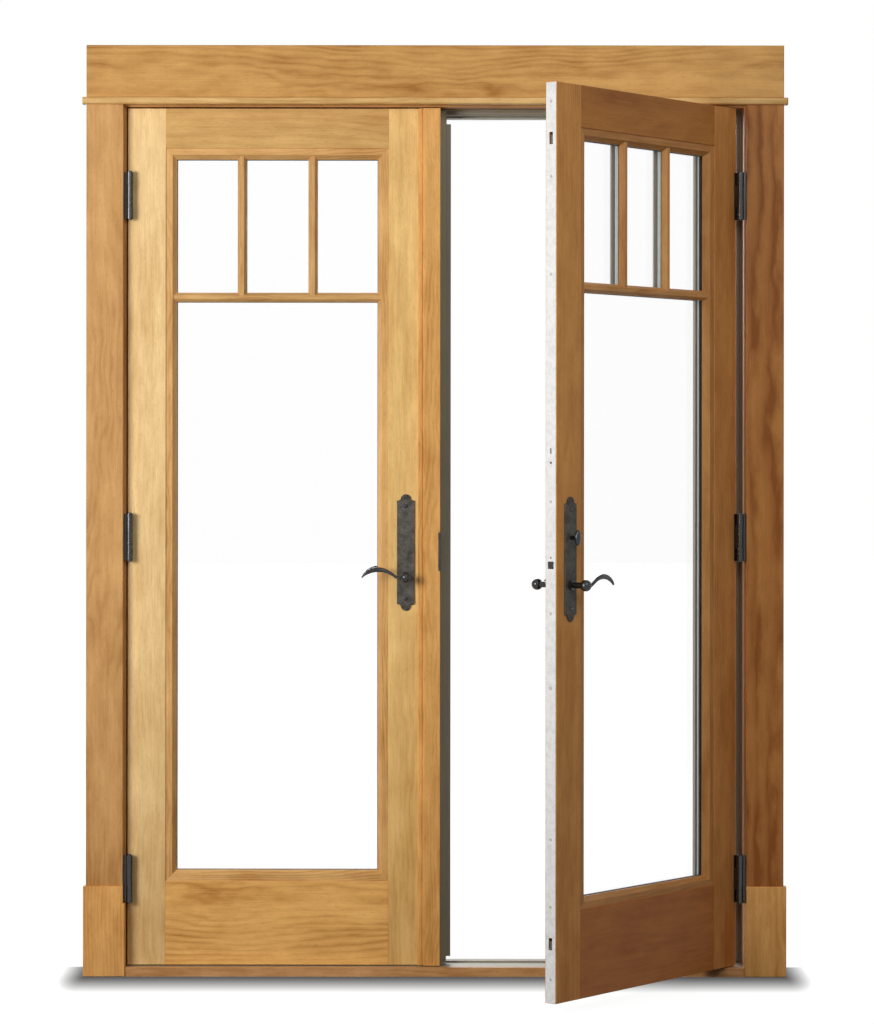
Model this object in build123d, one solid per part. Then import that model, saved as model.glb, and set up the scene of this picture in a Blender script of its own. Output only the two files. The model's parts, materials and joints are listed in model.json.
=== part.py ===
from build123d import *
import math
import os

# A pair of inswing french doors in their own frame, seen from the room along +Y.
# Lengths are millimetres. X runs across the doorway with 0 at its middle, Y = 0 is the wall face that
# the casing lies on with the room on the -Y side, and Z = 0 is the underside of the threshold.
# The left panel is the passive one and stands closed. The right panel is the active one and stands open.

# Driving dimensions: frame
door_width = 1420.0          # between the side jambs' inner faces
head_height = 1996.0         # underside of the head jamb
jamb_thickness = 30.0
jamb_depth = 56.0            # wood jamb, from the wall face to the exterior frame
casing_reveal = 5.0
casing_width = 85.0
casing_thickness = 19.0
casing_edge = 1.5
head_casing_height = 120.0
fillet_height = 16.0
fillet_round = 4.8
fillet_overhang = 9.0
fillet_gap = 4.0             # head jamb edge that shows below the fillet strip
plinth_height = 207.0
plinth_extra_width = 6.0
plinth_thickness = 25.0
exterior_depth = 60.0
stop_lap = 13.0              # how far the first step of the stop stands into the doorway
stop_second_lap = 17.5
stop_first_depth = 24.0
threshold_height = 21.0
threshold_nose = 22.0
sill_cover_nose = 8.0
sill_cover_thickness = 1.5
sill_upstand_height = 25.0
sill_upstand_depth = 12.0
sill_crest_run = 3.0
sill_crest_drop = 5.0
sill_run_out = 14.0
sill_lip_height = 18.0
weatherstrip_width = 7.0
weatherstrip_inset = 1.0
weatherstrip_round = 2.0
weatherstrip_gap = 0.3
jamb_screw_radius = 2.6
jamb_screw_heights = (500.0, 1500.0)

# Driving dimensions: door panels
open_angle = 51.0            # how far the active panel stands open
panel_side_gap = 3.0
panel_top_gap = 3.0
panel_bottom = 23.0
panel_meeting_gap = 39.0     # between the two panels' meeting edges when both are closed
panel_recess = 6.0           # room face of a closed panel behind the wall face
wood_thickness = 42.0
cladding_thickness = 2.5
stile_width = 87.5
top_rail_height = 91.5
bottom_rail_height = 192.0
eased_edge = 0.7
rebate_width = 25.0          # back corner of the active panel's meeting edge
rebate_depth = 15.5

# Driving dimensions: glass and its beads
bead_width = 24.8
bead_flat = 15.0
bead_recess = 2.5
bead_land = 4.0
glass_edge_gap = 3.0
pane_thickness = 4.0
air_gap = 12.0
lip_width = 22.0
lip_thickness = 6.2
spacer_inset = 6.0
spacer_width = 10.0
spacer_bar_width = 11.0
muntin_height = 22.0
muntin_width = 21.0
muntin_front = 9.0
muntin_recess = 6.0
muntin_land = 3.0
crossbar_height = 1559.0
muntin_spacing = 163.0
outside_muntin_front = 14.0
outside_muntin_land = 1.0

# Driving dimensions: hinges
pin_offset_x = 6.0           # pin centre inside the panel's hinge edge
pin_standoff = 16.0          # pin centre in front of the panel's room face
pin_radius = 3.0
knuckle_clearance = 0.05
knuckle_gap = 0.3
end_knuckle_radius = 7.7
middle_knuckle_radius = 7.25
hinge_height = 108.0
end_knuckle_height = 28.0
pin_cap_radius = 5.2
pin_cap_height = 2.4
pin_cap_round = 1.44
leaf_thickness = 2.5
leaf_depth = 35.0
leaf_wrap = 8.0
leaf_lap = 1.0               # jamb leaf's front past the jamb's inner face
leaf_casing_gap = 0.3
lowest_hinge_level = 222.9
highest_hinge_drop = 204.5   # middle of the top hinge below the head jamb
hinge_notch_gap = 1.0        # room below the bottom hinge where the plinth is notched

# Driving dimensions: meeting edge
astragal_overhang = 31.8     # wood astragal past the passive panel's edge
astragal_lip = 19.5          # its lip back over the stile
astragal_proud = 12.0
astragal_bead = 9.0
astragal_bead_rise = 7.5
astragal_lip_bevel = 3.0
astragal_bead_step = 1.0
channel_width = 14.0
channel_depth = 13.5
channel_bevel = 1.2
flange_reach = 24.0
flange_back = 12.0
flange_thickness = 11.5
flange_head_inset = 31.0
flange_foot_inset = 13.5
astragal_groove = 2.0
strike_height = 89.0
strike_level = 974.0
strike_width = 20.0
strike_thickness = 3.0
strike_proud = 2.0
strike_lip_width = 4.6
strike_lip_proud = 0.6
hook_strike_height = 64.0
hook_strike_thickness = 2.0
bolt_radius = 4.0
bolt_length = 140.0
bolt_setback = 14.0
bolt_sunk = 0.6
bolt_clearance = 0.08
bolt_bore_extra = 15.0       # room behind each drawn-back bolt
keeper_width = 22.0
keeper_length = 60.0
keeper_thickness = 2.0
bolt_reach = 18.0            # depth of the keeper holes
hook_reach = 24.0            # depth of the astragal pockets

# Driving dimensions: lock strip and its bolts
strip_thickness = 2.5
strip_proud = 1.0
strip_width = 26.0
strip_margin = 1.0
strip_foot_screws = (51.0, 206.0, 350.0)     # above the panel's bottom
strip_lock_screws = (-220.0, -60.0, 179.0)   # from the lever's level
strip_head_screws = (411.5, 202.0, 42.0)     # below the panel's top
strip_mark_insets = (9.0, 65.0, 141.0)       # pairs of shallow slots, from either end of the strip
strip_mark_offset = 9.2
strip_mark_size = (2.2, 5.0)
strip_mark_depth = 0.8
screw_head_radius = 3.2
screw_head_depth = 1.6
screw_shank_radius = 1.6
screw_length = 16.0
screw_clearance = 0.2
hook_foot_inset = 127.0      # hook above the panel's bottom
hook_head_inset = 120.5      # hook below the panel's top
hook_slot_width = 9.6
hook_slot_height = 26.0
hook_width = 5.4
hook_height = 18.0
hook_drop = 3.0              # hook's middle below the slot's
hook_nose = 13.0
hook_length = 36.0           # nose and tail together
hook_sunk = 3.4
latch_level = 959.5
latch_width = 14.7
latch_height = 15.4
latch_length = 30.0
latch_proud = 0.4
bolt_slot_clearance = 0.3
hook_mortise_depth = 52.0
hook_mortise_clearance = 0.3
latch_channel_depth = 44.0
gear_hole_depth = 12.0       # holes that show the gear behind the strip
cam_level = 1204.0
cam_slot = (3.6, 12.0)
cam_hole_level = 1178.5
cam_hole_radius = 2.8
pinhole_level = 975.5
pinhole_radius = 2.0
case_thickness = 17.0
case_depth = 68.0
case_end_clearance = 1.0
case_spindle_radius = 6.4
case_low = 846.0
case_high = 1212.0

# Driving dimensions: handles
handle_setback = 47.5        # spindle centre from the panel's meeting edge
plate_width = 40.7
plate_low = 838.0
plate_high = 1106.0
plate_thickness = 4.0
plate_bevel = 1.0
plate_arch_radius = 11.25
plate_shoulder = 15.0
plate_flare = (14.2, 13.6)     # point on the hollow curve from arch to shoulder
plate_screw_setback = 27.5
dome_radius = 4.6
dome_height = 2.6
dome_round = 2.08
lever_level = 916.0
ball_radius = 12.5
ball_standoff = 43.0         # ball centre in front of the panel's face
journal_radius = 9.0
journal_clearance = 0.06
journal_reach = 5.0          # journal past the panel's face, into the stile
neck_radius = 6.6
collar_radius = 10.5
collar_height = 5.0
lever_sections = (           # along, up, half height and half depth of the wave lever's sections
    (8.0, -2.0, 4.2, 4.2),
    (17.0, -1.5, 3.2, 3.6),
    (28.0, 5.0, 3.2, 4.2),
    (42.0, 13.0, 4.2, 5.0),
    (60.0, 17.6, 5.6, 5.6),
    (76.0, 16.0, 5.4, 5.4),
    (90.0, 9.5, 4.0, 4.6),
    (100.5, -1.0, 1.3, 2.4),
)
spindle_side = 8.0
spindle_start = 4.0          # behind the room-side lever's face
spindle_hole_radius = 9.8
turn_level = 1018.0
turn_stem_radius = 4.5
turn_standoff = 18.0
turn_half_width = 8.5
turn_half_depth = 6.0
turn_half_height = 17.3
turn_stem_seat = 4.0         # stem inside the lock case
turn_hole_depth = 6.0
key_cylinder_radius = 9.0
key_cylinder_proud = 3.0
keyway = (2.2, 9.0)
keyway_depth = 8.0

# How far a cutting shape runs past what it cuts
overcut = 1.0

# Sizes that follow from the ones above
jamb_x = door_width / 2
jamb_back_x = jamb_x + jamb_thickness
casing_x = jamb_x + casing_reveal
casing_back_x = casing_x + casing_width
fillet_low = head_height + fillet_gap
fillet_high = fillet_low + fillet_height
casing_top = fillet_high + head_casing_height
frame_back = jamb_depth + exterior_depth
panel_face = panel_recess
panel_wood_back = panel_face + wood_thickness
panel_back = panel_wood_back + cladding_thickness
hinge_edge = jamb_x - panel_side_gap
lock_edge = panel_meeting_gap / 2
panel_top = head_height - panel_top_gap
highest_hinge_level = head_height - highest_hinge_drop
hinge_levels = (lowest_hinge_level, (lowest_hinge_level + highest_hinge_level) / 2, highest_hinge_level)
hook_levels = (panel_bottom + hook_foot_inset, panel_top - hook_head_inset)
light_x = (lock_edge + stile_width, hinge_edge - stile_width)
light_z = (panel_bottom + bottom_rail_height, panel_top - top_rail_height)
light_middle = (light_x[0] + light_x[1]) / 2
outer_pane_back = panel_back - lip_thickness
outer_pane_face = outer_pane_back - pane_thickness
inner_pane_back = outer_pane_face - air_gap
glass_face = inner_pane_back - pane_thickness
bead_face = panel_face + bead_recess
pin_x = hinge_edge - pin_offset_x
pin_y = panel_face - pin_standoff
strip_face = lock_edge - strip_proud
strip_back = strip_face + strip_thickness
strip_middle = (panel_face + panel_back - rebate_depth) / 2
handle_x = lock_edge + handle_setback
astragal_edge = astragal_overhang - lock_edge


def block(x, y, z):
    """A box from three low and high pairs."""
    size = [max(pair) - min(pair) for pair in (x, y, z)]
    centre = [(pair[0] + pair[1]) / 2 for pair in (x, y, z)]
    return Pos(*centre) * Box(*size)


def upright(points, z):
    """An outline given as X, Y points, raised between two heights."""
    face = make_face(Polyline(*[(x, y, z[0]) for x, y in points], close=True))
    return extrude(face, amount=z[1] - z[0], dir=(0, 0, 1))


def across(points, x):
    """An outline given as Y, Z points, run between two X places."""
    face = make_face(Polyline(*[(x[0], y, z) for y, z in points], close=True))
    return extrude(face, amount=x[1] - x[0], dir=(1, 0, 0))


def through(points, y):
    """An outline given as X, Z points, run between two Y places."""
    face = make_face(Polyline(*[(x, y[0], z) for x, z in points], close=True))
    return extrude(face, amount=y[1] - y[0], dir=(0, 1, 0))


def rod_x(radius, x, y, z):
    return Pos((x[0] + x[1]) / 2, y, z) * Rot(0, 90, 0) * Cylinder(radius, x[1] - x[0])


def rod_y(radius, x, y, z):
    return Pos(x, (y[0] + y[1]) / 2, z) * Rot(90, 0, 0) * Cylinder(radius, y[1] - y[0])


def rod_z(radius, x, y, z):
    return Pos(x, y, (z[0] + z[1]) / 2) * Cylinder(radius, z[1] - z[0])


def front_edges(shape, y):
    """The edges that lie on the room face of a piece."""
    level = [e for e in shape.edges() if e.bounding_box().size.Y < 0.01]
    return [e for e in level if abs(e.center().Y - y) < 0.01]


def eased(shape, y, size):
    return chamfer(front_edges(shape, y), size)


def gather(shapes):
    """Separate solids held in one node."""
    return Compound(children=[solid for shape in shapes for solid in shape.solids()])


def mirrored(shape):
    return shape.mirror(Plane.YZ)


def without(shape, cuts):
    for cut in cuts:
        shape = shape - cut
    return shape


# Frame: casing, jambs, exterior frame and threshold
def casing_parts():
    face = -casing_thickness
    head = block((-casing_back_x, casing_back_x), (face, 0), (fillet_high, casing_top))
    head = eased(head, face, casing_edge)
    strip_x = casing_back_x + fillet_overhang
    strip_face = face - fillet_overhang
    strip = block((-strip_x, strip_x), (strip_face, 0), (fillet_low, fillet_high))
    strip = fillet(front_edges(strip, strip_face), fillet_round)
    side = block((casing_x, casing_back_x), (face, 0), (plinth_height, fillet_low))
    long_edges = [e for e in front_edges(side, face) if e.bounding_box().size.Z > fillet_height]
    side = chamfer(long_edges, casing_edge)
    plinth_x = (jamb_x, casing_back_x + plinth_extra_width)
    plinth = block(plinth_x, (-plinth_thickness, 0), (0, plinth_height))
    plinth = eased(plinth, -plinth_thickness, casing_edge)
    notch_low = hinge_levels[0] - hinge_height / 2 - hinge_notch_gap
    plinth -= block((jamb_x, casing_x), (-plinth_thickness, 0), (notch_low, plinth_height))
    return {
        "head_casing": head,
        "head_fillet": strip,
        "left_side_casing": mirrored(side),
        "right_side_casing": side,
        "plinth_blocks": gather([mirrored(plinth), plinth]),
    }


def stop_outline(inner, back):
    """Section of the exterior frame: two steps that stand into the doorway, as lap and depth points."""
    first = inner - stop_lap
    second = inner - stop_second_lap
    step = jamb_depth + stop_first_depth
    return [
        (back, jamb_depth), (first, jamb_depth), (first, step),
        (second, step), (second, frame_back), (back, frame_back),
    ]


def exterior_frame():
    head_back = head_height + jamb_thickness
    head_points = [(y, z) for z, y in stop_outline(head_height, head_back)]
    head = across(head_points, (-jamb_back_x, jamb_back_x))
    jamb = upright(stop_outline(jamb_x, jamb_back_x), (0, head_back)) - head
    lip = jamb_depth + sill_upstand_depth
    sill_points = [
        (jamb_depth, 0), (jamb_depth, sill_upstand_height), (lip, sill_upstand_height),
        (lip + sill_crest_run, sill_upstand_height - sill_crest_drop),
        (frame_back + sill_run_out, sill_lip_height),
        (frame_back + sill_run_out, 0),
    ]
    sill = across(sill_points, (-jamb_back_x, jamb_back_x)) - jamb - mirrored(jamb)
    return {
        "exterior_head": head,
        "exterior_jambs": gather([mirrored(jamb), jamb]),
        "exterior_sill": sill,
    }


def weatherstrips():
    """Bulb seals on the stops, just clear of the closed panels."""
    face = panel_back + weatherstrip_gap
    depth = (face, jamb_depth)
    inset = weatherstrip_inset - stop_lap
    head_z = (head_height + inset, head_height + inset + weatherstrip_width)
    side_x = (jamb_x + inset, jamb_x + inset + weatherstrip_width)
    head = block((-side_x[0], side_x[0]), depth, head_z)
    side = block(side_x, depth, (sill_upstand_height, head_z[1]))
    return [fillet(front_edges(s, face), weatherstrip_round) for s in (head, side, mirrored(side))]


def keepers():
    """Plates in the head jamb and the threshold that take the passive panel's two bolts."""
    bolt_x = -(lock_edge + bolt_setback)
    x = (bolt_x - keeper_length / 2, bolt_x + keeper_length / 2)
    y = (strip_middle - keeper_width / 2, strip_middle + keeper_width / 2)
    plates, pockets, holes = {}, {}, {}
    for name, face, into in (("head", head_height, 1), ("sill", threshold_height, -1)):
        hole_z = sorted((face, face + into * bolt_reach))
        holes[name] = rod_z(bolt_radius + bolt_slot_clearance, bolt_x, strip_middle, hole_z)
        pockets[name] = block(x, y, (face, face + into * keeper_thickness))
        plates[name] = pockets[name] - holes[name]
    return plates, pockets, holes


def jamb_parts():
    plates, pockets, holes = keepers()
    head_z = (head_height, head_height + jamb_thickness)
    head = block((-jamb_back_x, jamb_back_x), (0, jamb_depth), head_z)
    head = head - pockets["head"] - holes["head"]
    side = block((jamb_x, jamb_back_x), (0, jamb_depth), (0, head_height))
    for level in hinge_levels:
        z = (level - hinge_height / 2, level + hinge_height / 2)
        side -= block((jamb_x, jamb_x + leaf_thickness), (0, leaf_depth), z)
    for level in jamb_screw_heights:
        side -= rod_x(jamb_screw_radius, (jamb_x - overcut, jamb_back_x + overcut), jamb_depth / 2, level)
    nosing = block((-jamb_x, jamb_x), (-threshold_nose, jamb_depth), (0, threshold_height))
    nose_edges = [e for e in front_edges(nosing, -threshold_nose) if e.center().Z > casing_edge]
    nosing = chamfer(nose_edges, casing_edge)
    cover_z = (threshold_height - sill_cover_thickness, threshold_height)
    cover = block((-jamb_x, jamb_x), (-sill_cover_nose, jamb_depth), cover_z)
    nosing = without(nosing, [cover, pockets["sill"], holes["sill"]])
    return {
        "head_jamb": head,
        "left_side_jamb": mirrored(side),
        "right_side_jamb": side,
        "threshold": nosing,
        "sill_cover": without(cover, [pockets["sill"], holes["sill"]]),
        "bolt_keepers": gather(plates.values()),
    }


# Hinges: the jamb carries the end knuckles and the pin, and the panel the middle knuckle
def hinge(level):
    """Jamb leaf, pin and door leaf of one right-hand hinge, with the panel closed."""
    low, high = level - hinge_height / 2, level + hinge_height / 2
    ends = ((low, low + end_knuckle_height), (high - end_knuckle_height, high))
    middle = (ends[0][1] + knuckle_gap, ends[1][0] - knuckle_gap)
    bore = pin_radius + knuckle_clearance
    jamb_leaf = block((jamb_x, jamb_x + leaf_thickness), (-leaf_thickness, leaf_depth), (low, high))
    jamb_leaf += block((jamb_x - leaf_lap, casing_x - leaf_casing_gap), (-leaf_thickness, 0), (low, high))
    for z in ends:
        jamb_leaf += rod_z(end_knuckle_radius, pin_x, pin_y, z)
        jamb_leaf += block((pin_x, jamb_x + leaf_thickness), (-leaf_thickness * 2, 0), z)
    jamb_leaf -= rod_z(bore, pin_x, pin_y, (low - overcut, high + overcut))
    door_leaf = block((hinge_edge - leaf_thickness, hinge_edge), (panel_face, leaf_depth), (low, high))
    wrap_y = (panel_face - leaf_thickness, panel_face)
    door_leaf += block((hinge_edge - leaf_wrap, hinge_edge), wrap_y, (low, high))
    door_leaf += rod_z(middle_knuckle_radius, pin_x, pin_y, middle)
    door_leaf += block((pin_x - leaf_thickness, hinge_edge - leaf_thickness), (pin_y, panel_face), middle)
    door_leaf -= rod_z(bore, pin_x, pin_y, (low - overcut, high + overcut))
    pin = rod_z(pin_radius, pin_x, pin_y, (low, high))
    for z, side in ((high, 1), (low, -1)):
        cap = rod_z(pin_cap_radius, pin_x, pin_y, tuple(sorted((z, z + side * pin_cap_height))))
        pin += fillet([e for e in cap.edges() if abs(e.center().Z - z) > pin_cap_height / 2
                       and e.geom_type == GeomType.CIRCLE], pin_cap_round)
    return jamb_leaf, pin, door_leaf


# Panel: stiles, rails, cladding, glass, beads and glazing bars, modelled closed on the right
def mitre_prisms(x, z, width, y):
    """Four prisms that cut a picture frame of the given width into mitred lengths."""
    inner = [(x[0] + width, z[0] + width), (x[1] - width, z[0] + width),
             (x[1] - width, z[1] - width), (x[0] + width, z[1] - width)]
    outer = [(x[0], z[0]), (x[1], z[0]), (x[1], z[1]), (x[0], z[1])]
    return [through([outer[i], outer[(i + 1) % 4], inner[(i + 1) % 4], inner[i]], y) for i in range(4)]


def mitred_frame(x, z, width, section):
    """A picture frame of four lengths. The section holds inset and Y points."""
    depths = [y for inset, y in section]
    prisms = mitre_prisms(x, z, width, (min(depths) - overcut, max(depths) + overcut))
    lengths = [
        across([(y, z[0] + inset) for inset, y in section], x),
        upright([(x[1] - inset, y) for inset, y in section], z),
        across([(y, z[1] - inset) for inset, y in section], x),
        upright([(x[0] + inset, y) for inset, y in section], z),
    ]
    return [length & prism for length, prism in zip(lengths, prisms)]


def bar(middle, width, section_face, back, front_width, land, span, level):
    """A glazing bar with sloped sides: upright when span is its heights, level when they are X places."""
    half, front = width / 2, front_width / 2
    shoulder = back + math.copysign(land, section_face - back)
    side = [(-half, back), (-half, shoulder), (-front, section_face), (front, section_face),
            (half, shoulder), (half, back)]
    if level:
        return across([(y, middle + offset) for offset, y in side], span)
    return upright([(middle + offset, y) for offset, y in side], span)


def glazing_bars(face, back, front_width, land, frame):
    """One crossbar and the two short bars above it, coped to the frame around them."""
    cross = bar(crossbar_height, muntin_height, face, back, front_width, land, light_x, True)
    bars = [cross]
    for offset in (-muntin_spacing / 2, muntin_spacing / 2):
        upper = bar(light_middle + offset, muntin_width, face, back, front_width, land,
                    (crossbar_height, light_z[1]), False)
        bars.append(upper - cross)
    for piece in frame:
        bars = [b - piece for b in bars]
    return bars


def glass_parts():
    inset_x = (light_x[0] + glass_edge_gap, light_x[1] - glass_edge_gap)
    inset_z = (light_z[0] + glass_edge_gap, light_z[1] - glass_edge_gap)
    panes = [block(inset_x, (glass_face, inner_pane_back), inset_z),
             block(inset_x, (outer_pane_face, outer_pane_back), inset_z)]
    x = (inset_x[0] + spacer_inset, inset_x[1] - spacer_inset)
    z = (inset_z[0] + spacer_inset, inset_z[1] - spacer_inset)
    gap = (inner_pane_back, outer_pane_face)
    spacer = block(x, gap, z)
    inner_x = (x[0] + spacer_width, x[1] - spacer_width)
    spacer -= block(inner_x, gap, (z[0] + spacer_width, z[1] - spacer_width))
    half = spacer_bar_width / 2
    bar_y = (gap[0] + 2, gap[1] - 2)
    spacer += block(x, bar_y, (crossbar_height - half, crossbar_height + half))
    for offset in (-muntin_spacing / 2, muntin_spacing / 2):
        middle = light_middle + offset
        spacer += block((middle - half, middle + half), bar_y, (crossbar_height, z[1]))
    return panes, spacer


def panel_parts(rebated):
    """Every fixed piece of one panel, closed and on the right. The caller moves it to its place."""
    depth = (panel_face, panel_wood_back)
    height = (panel_bottom, panel_top)
    hinge_stile = eased(block((light_x[1], hinge_edge), depth, height), panel_face, eased_edge)
    notch = rebate_width if rebated else 0
    step = panel_back - rebate_depth
    outline = [(light_x[0], panel_face), (lock_edge, panel_face), (lock_edge, panel_wood_back),
               (light_x[0], panel_wood_back)]
    if rebated:
        outline[2:3] = [(lock_edge, step), (lock_edge + notch, step), (lock_edge + notch, panel_wood_back)]
    lock_stile = eased(upright(outline, height), panel_face, eased_edge)
    top_rail = eased(block(light_x, depth, (light_z[1], panel_top)), panel_face, eased_edge)
    bottom_rail = eased(block(light_x, depth, (panel_bottom, light_z[0])), panel_face, eased_edge)

    skin_x = (lock_edge + notch, hinge_edge)
    skin = block(skin_x, (panel_wood_back, panel_back), height)
    skin += block(light_x, (outer_pane_back, panel_wood_back), light_z)
    daylight_x = (light_x[0] + lip_width, light_x[1] - lip_width)
    daylight_z = (light_z[0] + lip_width, light_z[1] - lip_width)
    skin -= block(daylight_x, (outer_pane_back, panel_back), daylight_z)
    corners_out = [(skin_x[0], height[0]), (skin_x[1], height[0]),
                   (skin_x[1], height[1]), (skin_x[0], height[1])]
    corners_in = [(daylight_x[0], daylight_z[0]), (daylight_x[1], daylight_z[0]),
                  (daylight_x[1], daylight_z[1]), (daylight_x[0], daylight_z[1])]
    cladding = []
    for i in range(4):
        j = (i + 1) % 4
        prism = through([corners_out[i], corners_out[j], corners_in[j], corners_in[i]],
                        (outer_pane_back - overcut, panel_back + overcut))
        cladding.append(skin & prism)

    section = [(0, bead_face), (bead_flat, bead_face), (bead_width, glass_face - bead_land),
               (bead_width, glass_face), (0, glass_face)]
    beads = mitred_frame(light_x, light_z, bead_width, section)
    inside_bars = glazing_bars(panel_face + muntin_recess, glass_face, muntin_front, muntin_land, beads)
    outside_bars = glazing_bars(panel_back, outer_pane_back, outside_muntin_front, outside_muntin_land,
                                cladding)
    panes, spacer = glass_parts()

    leaves = []
    for level in hinge_levels:
        jamb_leaf, pin, door_leaf = hinge(level)
        leaves.append(door_leaf)
        low, high = level - hinge_height / 2, level + hinge_height / 2
        leaf_x = (hinge_edge - leaf_thickness, hinge_edge)
        hinge_stile -= block(leaf_x, (panel_face, leaf_depth), (low, high))
    return {
        "hinge_stile": hinge_stile,
        "lock_stile": lock_stile,
        "top_rail": top_rail,
        "bottom_rail": bottom_rail,
        "cladding": gather(cladding),
        "glass_panes": gather(panes),
        "glass_spacer": spacer,
        "glazing_beads": gather(beads),
        "inside_muntins": gather(inside_bars),
        "outside_muntins": gather(outside_bars),
        "door_leaves": gather(leaves),
    }


# Handles: plates, screws, levers on their spindle, thumb-turn and key cylinder
def plate_outline(y, inset):
    """The plate's arched outline at one depth, drawn in by an inset for the bevelled rim."""
    half, tall = plate_width / 2 - inset, (plate_high - plate_low) / 2
    middle = (plate_high + plate_low) / 2
    arch = plate_arch_radius - inset
    diagonal = math.sqrt(0.5)
    lean = arch * diagonal
    shoulder = plate_shoulder + inset
    flare = (plate_flare[0] - diagonal * inset, plate_flare[1] + diagonal * inset)
    edges = []
    for side, end in ((1, 1), (-1, 1), (-1, -1), (1, -1)):
        def at(x, z):
            return (handle_x + side * x, y, middle + end * (tall - z))
        arch_end = at(arch, plate_arch_radius)
        edges.append(ThreePointArc(at(half, shoulder), at(*flare), arch_end))
        edges.append(ThreePointArc(arch_end, at(lean, plate_arch_radius - lean), at(0, inset)))
    for side in (-1, 1):
        x = handle_x + side * half
        edges.append(Line((x, y, plate_low + shoulder), (x, y, plate_high - shoulder)))
    return make_face(edges)


def plate(face, out):
    """A plate with an arched head and foot. out is -1 on the room side and 1 outside."""
    front = face + out * plate_thickness
    rim = front - out * plate_bevel
    body = extrude(plate_outline(face, 0), amount=plate_thickness - plate_bevel, dir=(0, out, 0))
    return body + loft([plate_outline(rim, 0), plate_outline(front, plate_bevel)], ruled=True)


def plate_screws():
    """Dome-headed screws of the room-side plate, with the holes that take them."""
    face = panel_face - plate_thickness
    screws, holes = [], []
    for level in (plate_low + plate_screw_setback, plate_high - plate_screw_setback):
        dome = rod_y(dome_radius, handle_x, (face - dome_height, face), level)
        dome = fillet(front_edges(dome, face - dome_height), dome_round)
        screws.append(dome + rod_y(screw_shank_radius, handle_x, (face, face + screw_length), level))
        reach = (face - overcut, face + screw_length + overcut)
        holes.append(rod_y(screw_shank_radius + screw_clearance, handle_x, reach, level))
    return screws, holes


def wave(ball_y):
    """The wave-shaped arm of a lever, lofted through ellipses along its rise and fall."""
    sections = []
    for i, (along, up, half_height, half_depth) in enumerate(lever_sections):
        before = lever_sections[max(i - 1, 0)]
        after = lever_sections[min(i + 1, len(lever_sections) - 1)]
        heading = (before[0] - after[0], 0, before[1] - after[1])
        plane = Plane((handle_x + along, ball_y, lever_level + up), x_dir=(0, 1, 0), z_dir=heading)
        sections.append(plane * Ellipse(half_depth, half_height))
    return loft(sections[::-1])


def lever(face, out):
    """A lever with its journal in the plate, its collar, neck and ball. out is -1 on the room side."""
    front = face + out * plate_thickness
    ball_y = face + out * ball_standoff
    collar = (front + out * knuckle_gap, front + out * (knuckle_gap + collar_height))

    def turned(radius, y):
        return rod_y(radius, handle_x, tuple(sorted(y)), lever_level)

    body = turned(journal_radius, (face - out * journal_reach, collar[0])) + turned(collar_radius, collar)
    body += turned(neck_radius, (collar[1], ball_y))
    body += Pos(handle_x, ball_y, lever_level) * Rot(0, 0, 180) * Sphere(ball_radius)
    return body + wave(ball_y)


def levers():
    """Both levers. The square spindle is fast in the room-side one and enters a socket in the other."""
    half = spindle_side / 2
    spindle_y = (panel_face + spindle_start, panel_back + plate_thickness + collar_height)
    spindle = block((handle_x - half, handle_x + half), spindle_y, (lever_level - half, lever_level + half))
    outside = lever(panel_back, 1)
    return {"inside_lever": lever(panel_face, -1) + (spindle - outside), "outside_lever": outside - spindle}


def thumb_turn():
    seat_y = strip_middle - case_thickness / 2 + turn_stem_seat
    stem_y = (panel_face - plate_thickness - turn_standoff, seat_y)
    stem = rod_y(turn_stem_radius, handle_x, stem_y, turn_level)
    knob = scale(Sphere(1), by=(turn_half_width, turn_half_depth, turn_half_height))
    return stem + Pos(handle_x, stem_y[0], turn_level) * knob


def key_cylinder():
    y = (panel_back - rebate_depth, panel_back + plate_thickness + key_cylinder_proud)
    body = rod_y(key_cylinder_radius, handle_x, y, turn_level)
    body = chamfer([e for e in body.edges() if abs(e.center().Y - y[1]) < 0.01], plate_bevel)
    half = keyway[0] / 2
    slot = block((handle_x - half, handle_x + half), (y[1] - keyway_depth, y[1]),
                 (turn_level - keyway[1] / 2, turn_level + keyway[1] / 2))
    return body - slot


def handle_parts(active):
    """Plates and screws of one panel, and the screw holes and other holes they need in the stile."""
    screws, screw_holes = plate_screws()
    whole = (panel_face - plate_thickness - overcut, panel_back + plate_thickness + overcut)
    journal = rod_y(journal_radius + journal_clearance, handle_x, whole, lever_level)
    inside = plate(panel_face, -1) - journal
    outside = plate(panel_back, 1) - journal
    stile_holes = [rod_y(spindle_hole_radius, handle_x, whole, lever_level)]
    for hole in screw_holes:
        inside -= hole
    parts = {"inside_plate": inside, "outside_plate": outside}
    if active:
        stem_room = turn_stem_radius + bolt_slot_clearance
        parts["inside_plate"] -= rod_y(turn_stem_radius + journal_clearance, handle_x,
                                       (whole[0], panel_face), turn_level)
        stile_holes.append(rod_y(stem_room, handle_x, (whole[0], strip_middle), turn_level))
        cylinder = key_cylinder()
        parts["outside_plate"] -= rod_y(key_cylinder_radius, handle_x, (panel_back, whole[1]), turn_level)
        cylinder_y = (panel_back - rebate_depth, whole[1])
        stile_holes.append(rod_y(key_cylinder_radius, handle_x, cylinder_y, turn_level))
        parts["key_cylinder"] = cylinder
    return parts, screws, screw_holes, stile_holes


# Meeting edge of the active panel: strip, lock case, latch and hook bolts
def slot_hole(level, width, height, x):
    y = (strip_middle - width / 2, strip_middle + width / 2)
    return block(x, y, (level - height / 2, level + height / 2))


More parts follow.
